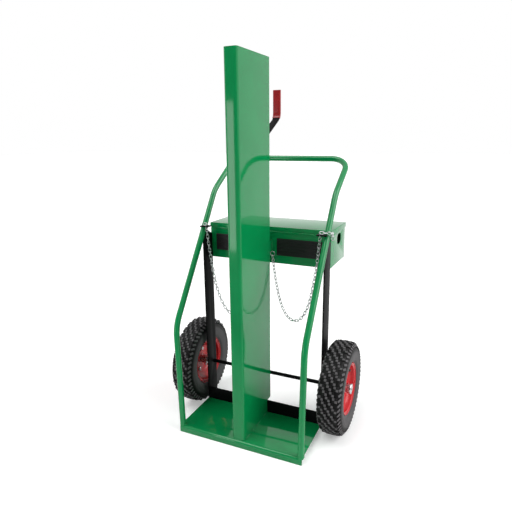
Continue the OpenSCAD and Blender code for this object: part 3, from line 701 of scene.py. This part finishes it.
# %% Welds of the bars
WELD_INSET = 0.001
HOOK_WELD = (0.003, 0.03)
upright_low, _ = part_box("right_upright")
axle_low, axle_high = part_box("axle")
axle_middle = (axle_low + axle_high) / 2
beads = []
for side in (-1, 1):
    inner = side * upright_low.x
    corner = Vector((inner, bar_high.y, bar_high.z))
    beads.append(weld_line(Vector((inner, bar_high.y, bar_low.z)), corner))
    beads.append(weld_line(Vector((inner, bar_low.y + WELD_INSET, bar_high.z)), corner))
    on_axle = Vector((inner, axle_middle.y, axle_middle.z))
    beads.append(weld_ring(on_axle, (axle_high.z - axle_low.z) / 2, Vector((1, 0, 0))))
    root = Vector((side * hook_high.x, hook_low.y + WELD_INSET, hook_low.z))
    beads.append(weld_line(*[root + Vector((0, 0, at)) for at in HOOK_WELD]))
welded("bar_welds", beads, "black_paint")

# %% [markdown]
# ## Wheels
# Each wheel is a rubber tyre on a two-piece pressed rim. A torus could start the tyre's carcass, but its section is a
# plain circle, and a tyre has steep sides, beads and a broad crown. So a section is drawn point by point and spun round
# the axle, and the rim and the hub's cap are made the same way.

# %% Drawing and spinning a section
WHEEL_STEPS = 96


def spun_section(name, section, centre, side, closed):
    """Draws a section as [outwards, radius] points beside the axle and spins it into a ring."""
    points = [centre + Vector((side * out, 0, radius)) for out, radius in section]
    start_clean()
    bpy.ops.mesh.primitive_plane_add(size=0.001, location=points[0])
    ring = settle(bpy.context.object)
    ring.name = name
    pick_all(ring)
    bpy.ops.mesh.select_mode(type="VERT")
    bpy.ops.mesh.merge(type="CENTER")
    for here, there in zip(points, points[1:]):
        bpy.ops.mesh.extrude_vertices_move(TRANSFORM_OT_translate={"value": there - here})
    bpy.ops.mesh.select_all(action="SELECT")
    if closed:
        bpy.ops.mesh.remove_doubles(threshold=MERGE)
    bpy.ops.mesh.spin(steps=WHEEL_STEPS, angle=math.tau, center=centre, axis=(1, 0, 0))
    bpy.ops.mesh.select_all(action="SELECT")
    bpy.ops.mesh.remove_doubles(threshold=MERGE)
    bpy.ops.mesh.normals_make_consistent(inside=False)
    return ring


def copies(source, places):
    """Copies a piece to each place, given as (location, turn), and joins the copies."""
    made = []
    for location, turn in places:
        start_clean()
        source.select_set(True)
        bpy.context.view_layer.objects.active = source
        bpy.ops.object.duplicate()
        bpy.context.object.location = location
        bpy.context.object.rotation_euler = turn
        made.append(settle(bpy.context.object))
    bpy.data.objects.remove(source)
    return joined(made)


def spun_copies(piece, count, centre):
    """Repeats a whole piece round the axle."""
    pick_all(piece)
    share = math.tau / count
    bpy.ops.mesh.spin(steps=count - 1, dupli=True, angle=math.tau - share, center=centre, axis=(1, 0, 0))


# %% Tyre carcass
BEAD_TOE = 0.0242
side_profile = [
    (BEAD_TOE, 0.1019), (0.0375, 0.1019), (0.0377, 0.1124), (0.0418, 0.1128), (0.0448, 0.1162), (0.0472, 0.1208),
    (0.0481, 0.1222), (0.0490, 0.1246), (0.0488, 0.1266), (0.0500, 0.1305), (0.0507, 0.1360), (0.0513, 0.1420),
    (0.0514, 0.1480), (0.0514, 0.1490), (0.0507, 0.1496), (0.0507, 0.1512), (0.0514, 0.1518), (0.0513, 0.1570),
    (0.0511, 0.1620), (0.0505, 0.1662), (0.0495, 0.1716), (0.0440, 0.1798), (0.0385, 0.1877), (0.0365, 0.1904),
    (0.0345, 0.1919), (0.0310, 0.1926), (0.0150, 0.1929), (0, 0.1930),
]
inner_profile = [
    (0, 0.1878), (0.0200, 0.1860), (0.0300, 0.1815), (0.0360, 0.1740), (0.0385, 0.1650), (0.0394, 0.1508),
    (0.0385, 0.1310), (0.0340, 0.1190), (BEAD_TOE, 0.1110),
]


def both_sides(profile):
    """A profile that runs from one side to the middle, carried on to the other side."""
    return profile + [(-out, radius) for out, radius in reversed(profile[:-1])]


outline = both_sides(side_profile)
hollow = [(-out, radius) for out, radius in both_sides(list(reversed(inner_profile)))]
tyre_section = outline + hollow + [outline[0]]
print("tyre section points:", len(tyre_section))

# %% [markdown]
# ### Tread
# The tread is cut in rows that are staggered like bricks. Displacement could raise it from the carcass, but its sharp
# edges would need a very fine mesh, and blocks of few faces are lighter. A lug is a cube whose top is drawn in and
# whose upper edges are broken. A crown block is a low plinth with two lugs at opposite corners, and a shoulder bar is a
# single lug. They are copied to their places across the tyre, and each group is spun round the axle as copies.

# %% Tread blocks
TREAD_CELLS = 28
ROOT = 0.004
PLINTH = 0.002
LUG = 0.0104
LUG_APART = Vector((0.0052, 0.0048, 0))
LUG_TOP = 0.86
LUG_EDGE = 0.0008
BAR_SLANT = math.radians(35)
ROW_PITCH = 0.014


def lug(low, high):
    """One rubber lug, drawn in to its top."""
    piece = block("lug", low, high)
    pick(piece, "FACE", lambda middle, normal: normal.z > 0.9)
    bpy.ops.transform.resize(value=(LUG_TOP, LUG_TOP, 1))
    pick(piece, "EDGE", lambda middle, along: middle.z > high.z - MERGE)
    bpy.ops.mesh.bevel(offset=LUG_EDGE, segments=1, affect="EDGES")
    return piece


def shoulder_bar(long, wide, high):
    """A single lug standing on z = 0, with a root below."""
    return lug(Vector((-wide / 2, -long / 2, -ROOT)), Vector((wide / 2, long / 2, high)))


def crown_block(long, wide, high):
    """Two lugs near opposite corners of a low plinth on z = 0."""
    corner = Vector((wide / 2, long / 2, 0))
    root = Vector((0, 0, ROOT))
    top = Vector((0, 0, high))
    plinth = block("plinth", -corner - root, corner + Vector((0, 0, PLINTH)))
    half = Vector((LUG / 2, LUG / 2, 0))
    spots = [Vector((way * LUG_APART.x, -way * LUG_APART.y, 0)) for way in (1, -1)]
    return joined([plinth] + [lug(spot - half - root, spot + half + top) for spot in spots])


def tread_places():
    """Where the blocks of one cell stand, by the kind of block, as (place, turn) about the axle."""
    half_cell = math.pi / TREAD_CELLS
    rows = {0: [], 1: [], 2: [], "bar": []}
    for row in (-2, -1, 0, 1, 2):
        swing = Matrix.Rotation(half_cell * (abs(row) % 2), 3, "X")
        rows[abs(row)].append((swing @ Vector((row * ROW_PITCH, 0, CROWN_R)), swing))
    for end in (-1, 1):
        for step in (0, 1):
            swing = Matrix.Rotation(half_cell * step, 3, "X")
            lean = Matrix.Rotation(end * SHOULDER_TURN, 3, "Y") @ Matrix.Rotation(end * BAR_SLANT, 3, "Z")
            rows["bar"].append((swing @ Vector((end * SHOULDER.x, 0, SHOULDER.z)), swing @ lean))
    return rows


# Length round the tyre, width across it and height, by the kind of block
BLOCK_SIZES = {
    0: (0.018, 0.017, 0.007), 1: (0.018, 0.017, 0.0065), 2: (0.018, 0.017, 0.0045), "bar": (0.0105, 0.020, 0.0042)}
print("blocks in a tread cell:", sum(len(places) for places in tread_places().values()))

# %% Tyres
SIDES = (("left", -1), ("right", 1))


def wheel_centre(side_name):
    """The middle of a wheel."""
    low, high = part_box(side_name + "_tyre")
    return (low + high) / 2


for side_name, side in SIDES:
    centre = wheel_centre(side_name)
    tyre = spun_section(side_name + "_tyre_tread", tyre_section, centre, side, True)
    groups = [tyre]
    for kind, places in tread_places().items():
        model = shoulder_bar if kind == "bar" else crown_block
        group = copies(model(*BLOCK_SIZES[kind]), [(centre + place, turn.to_euler()) for place, turn in places])
        spun_copies(group, TREAD_CELLS, centre)
        groups.append(group)
    hand_over(joined(groups), "tyre_rubber", side_name + "_wheel", side_name + "_tyre")

# %% [markdown]
# ### Rims
# Each rim half is pressed sheet: a flat disc that the bolts clamp, a dished wall, the seat of the tyre's bead and a
# rolled flange. A disc could be inset and pushed in ring by ring, but a section shows the whole pressing at a glance.
# One line is drawn and spun for both halves, and Solidify gives the sheet its thickness.

# %% Rims
RIM_SHEET = 0.0022
rim_section = [
    (0.0012, 0.0212), (0.0012, 0.062), (0.0035, 0.0665), (0.0085, 0.071), (0.0110, 0.078), (0.0135, 0.0865),
    (0.0185, 0.0935), (0.0260, 0.0975), (0.0360, 0.0995), (0.0378, 0.1015), (0.0384, 0.1060), (0.0393, 0.1088),
    (0.0412, 0.1102), (0.0428, 0.1096),
]
for side_name, side in SIDES:
    centre = wheel_centre(side_name)
    for half_name, facing in (("outer", 1), ("inner", -1)):
        rim = spun_section(side_name + "_" + half_name + "_dish", rim_section, centre, side * facing, False)
        apply_modifier(rim, "SOLIDIFY", thickness=RIM_SHEET, offset=0)
        hand_over(rim, "red_paint", side_name + "_wheel", side_name + "_rim_" + half_name)

# %% [markdown]
# ### Hubs
# A bright pressed cap closes each hub, with a hole that shows the end of the axle. A bevelled cylinder could stand for
# it, but the hole shows how thin the cap is, so it is a section spun like the rim. The axle, sleeve, spacer, washer,
# bolts and valve have their shape from the frame and only lose their sharp edges.

# %% Hubs
CAP_WALL = 0.0015
CAP_HOLE = 0.006
HUB_EDGE = 0.0006
BOLT_EDGE = 0.0005
AXLE_EDGE = 0.0008
for side_name, side in SIDES:
    low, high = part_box(side_name + "_hub_cap")
    centre = wheel_centre(side_name)
    skirt, face = sorted(abs(edge - centre.x) for edge in (low.x, high.x))
    cap_r = (high.z - low.z) / 2
    cap_section = [
        (skirt, cap_r - CAP_WALL), (skirt, cap_r), (face - 0.004, cap_r), (face - 0.0018, cap_r - 0.0005),
        (face - 0.0006, cap_r - 0.0016), (face, cap_r - 0.0038), (face, CAP_HOLE + 0.0012), (face - 0.0005, CAP_HOLE),
        (face - CAP_WALL, CAP_HOLE), (face - CAP_WALL, cap_r - 0.0045), (face - 0.0025, cap_r - CAP_WALL - 0.0006),
        (face - 0.0045, cap_r - CAP_WALL), (skirt, cap_r - CAP_WALL),
    ]
    cap = spun_section(side_name + "_bright_cap", cap_section, centre, side, True)
    hand_over(cap, "zinc_steel", side_name + "_wheel", side_name + "_hub_cap")
    for node, width in (("hub", HUB_EDGE), ("rim_bolts", BOLT_EDGE), ("valve", HUB_EDGE)):
        slot = "tube_rubber" if node == "valve" else "zinc_steel"
        soften(side_name + "_" + node, side_name + "_soft_" + node, width, slot, side_name + "_wheel")
    for node in ("spacer", "washer"):
        soften(side_name + "_" + node, side_name + "_soft_" + node, BOLT_EDGE, "zinc_steel", "frame")
soften("axle", "axle_bar", AXLE_EDGE, "black_paint", "frame")

# %% [markdown]
# ## Studio
# The trolley stands on a pale floor in soft light. A broad lamp from the right shapes it, one from above lights
# the floor, the lid and the tread, and a tall soft box far to the left draws a long highlight down the barrier. The
# world fills in, and the camera and mirrors see a white surround. Behind the camera the world is darker for mirrors,
# and the floor there is painted darker only where mirrors see it, a painted reflection. Together they give the glossy
# paint its dark edges.

# %% Studio world
FILL = 0.42
ROOM_DARK = 0.12
# How far a ray faces backwards, where the mirrored room is fully dark and where it is white
DARK_FACING = -0.75
WHITE_FACING = -0.35
world = bpy.data.worlds.new("studio")
scene.world = world
world.use_nodes = True
tree = world.node_tree
rays = add(tree, "LightPath").outputs
facing = add(tree, "SeparateXYZ", Vector=add(tree, "TexCoord").outputs["Generated"]).outputs["Y"]
mirror = add(
    tree, "MapRange", Value=facing, From_Min=DARK_FACING, From_Max=WHITE_FACING, To_Min=ROOM_DARK, To_Max=1)
seen = add(tree, "Mix", Factor=rays["Is Glossy Ray"], A=FILL, B=mirror.outputs["Result"]).outputs["Result"]
straight = calc(tree, "MAXIMUM", rays["Is Camera Ray"], rays["Is Transmission Ray"])
strength = add(tree, "Mix", Factor=straight, A=seen, B=1.0).outputs["Result"]
tree.links.new(strength, tree.nodes["Background"].inputs["Strength"])
tree.nodes["Background"].inputs["Color"].default_value = (1, 1, 1, 1)
print("world fill:", FILL)

# %% Floor
FLOOR_LIFT = 0.3
PALE = 0.86
PAINTED_DARK_FLOOR_REFLECTION = 0.2
# Where the floor is painted darkest for mirrors only, towards the camera, and where it is pale
DARK_FLOOR_Y = -1.2
PALE_FLOOR_Y = -0.3
FLOOR_SIZE = 60
start_clean()
bpy.ops.mesh.primitive_plane_add(size=FLOOR_SIZE, location=(0, 0, 0))
floor = bpy.context.object
floor.name = "floor"
pale = bpy.data.materials.new("pale_floor")
pale.use_nodes = True
tree = pale.node_tree
tree.nodes.remove(tree.nodes["Principled BSDF"])
rays = add(tree, "LightPath").outputs
straight = calc(tree, "MAXIMUM", rays["Is Camera Ray"], rays["Is Transmission Ray"])
glow = add(tree, "Emission", Color=(1, 1, 1, 1), Strength=spread(tree, straight, 0, FLOOR_LIFT))
behind = add(tree, "SeparateXYZ", Vector=add(tree, "TexCoord").outputs["Object"]).outputs["Y"]
mirror = add(
    tree, "MapRange", Value=behind, From_Min=DARK_FLOOR_Y, From_Max=PALE_FLOOR_Y, To_Min=PAINTED_DARK_FLOOR_REFLECTION, To_Max=PALE)
# Mirrors see the floor painted darker near the camera, a painted reflection, while the camera sees it pale
tone = add(tree, "Mix", Factor=rays["Is Glossy Ray"], A=PALE, B=mirror.outputs["Result"]).outputs["Result"]
matt = add(tree, "BsdfDiffuse", Color=tone)
both = tree.nodes.new("ShaderNodeAddShader")
for socket, light in zip(both.inputs, (glow.outputs["Emission"], matt.outputs["BSDF"])):
    tree.links.new(light, socket)
tree.links.new(both.outputs["Shader"], tree.nodes["Material Output"].inputs["Surface"])
floor.data.materials.append(pale)
floor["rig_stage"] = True
print("floor:", tuple(round(size) for size in floor.dimensions))

# %% Lamps
# Each broad lamp: its name, where its light comes from, its power and its softness in degrees
SUNS = (("right_lamp", Vector((1, 0.15, 0.75)), 2.1, 50), ("top_lamp", Vector((-0.3, -0.3, 1)), 1.4, 40))
BOX_PLACE = Vector((-1.75, -3.3, 0.8))
BOX_WIDE = 0.7
BOX_TALL = 1.6
BOX_POWER = 12
for name, comes_from, power, softness in SUNS:
    bpy.ops.object.light_add(type="SUN", rotation=comes_from.to_track_quat("Z", "Y").to_euler())
    lamp = bpy.context.object
    lamp.name = name
    lamp.data.energy = power
    lamp.data.angle = math.radians(softness)
bpy.ops.object.light_add(type="AREA", location=BOX_PLACE)
lamp = bpy.context.object
lamp.name = "soft_box"
lamp.rotation_euler = (BOX_PLACE - Vector((0, 0, BOX_PLACE.z))).to_track_quat("Z", "Y").to_euler()
lamp.data.shape = "RECTANGLE"
lamp.data.size = BOX_WIDE
lamp.data.size_y = BOX_TALL
lamp.data.energy = BOX_POWER
lamp.visible_camera = False
print("lamps:", [name for name, *_ in SUNS] + [lamp.name])

# %% [markdown]
# ## Sizes
# The dressed trolley must stay inside the frame's box.

# %% Sizes and finish
low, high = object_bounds()
print("box:", tuple(round(c, 4) for c in high - low))
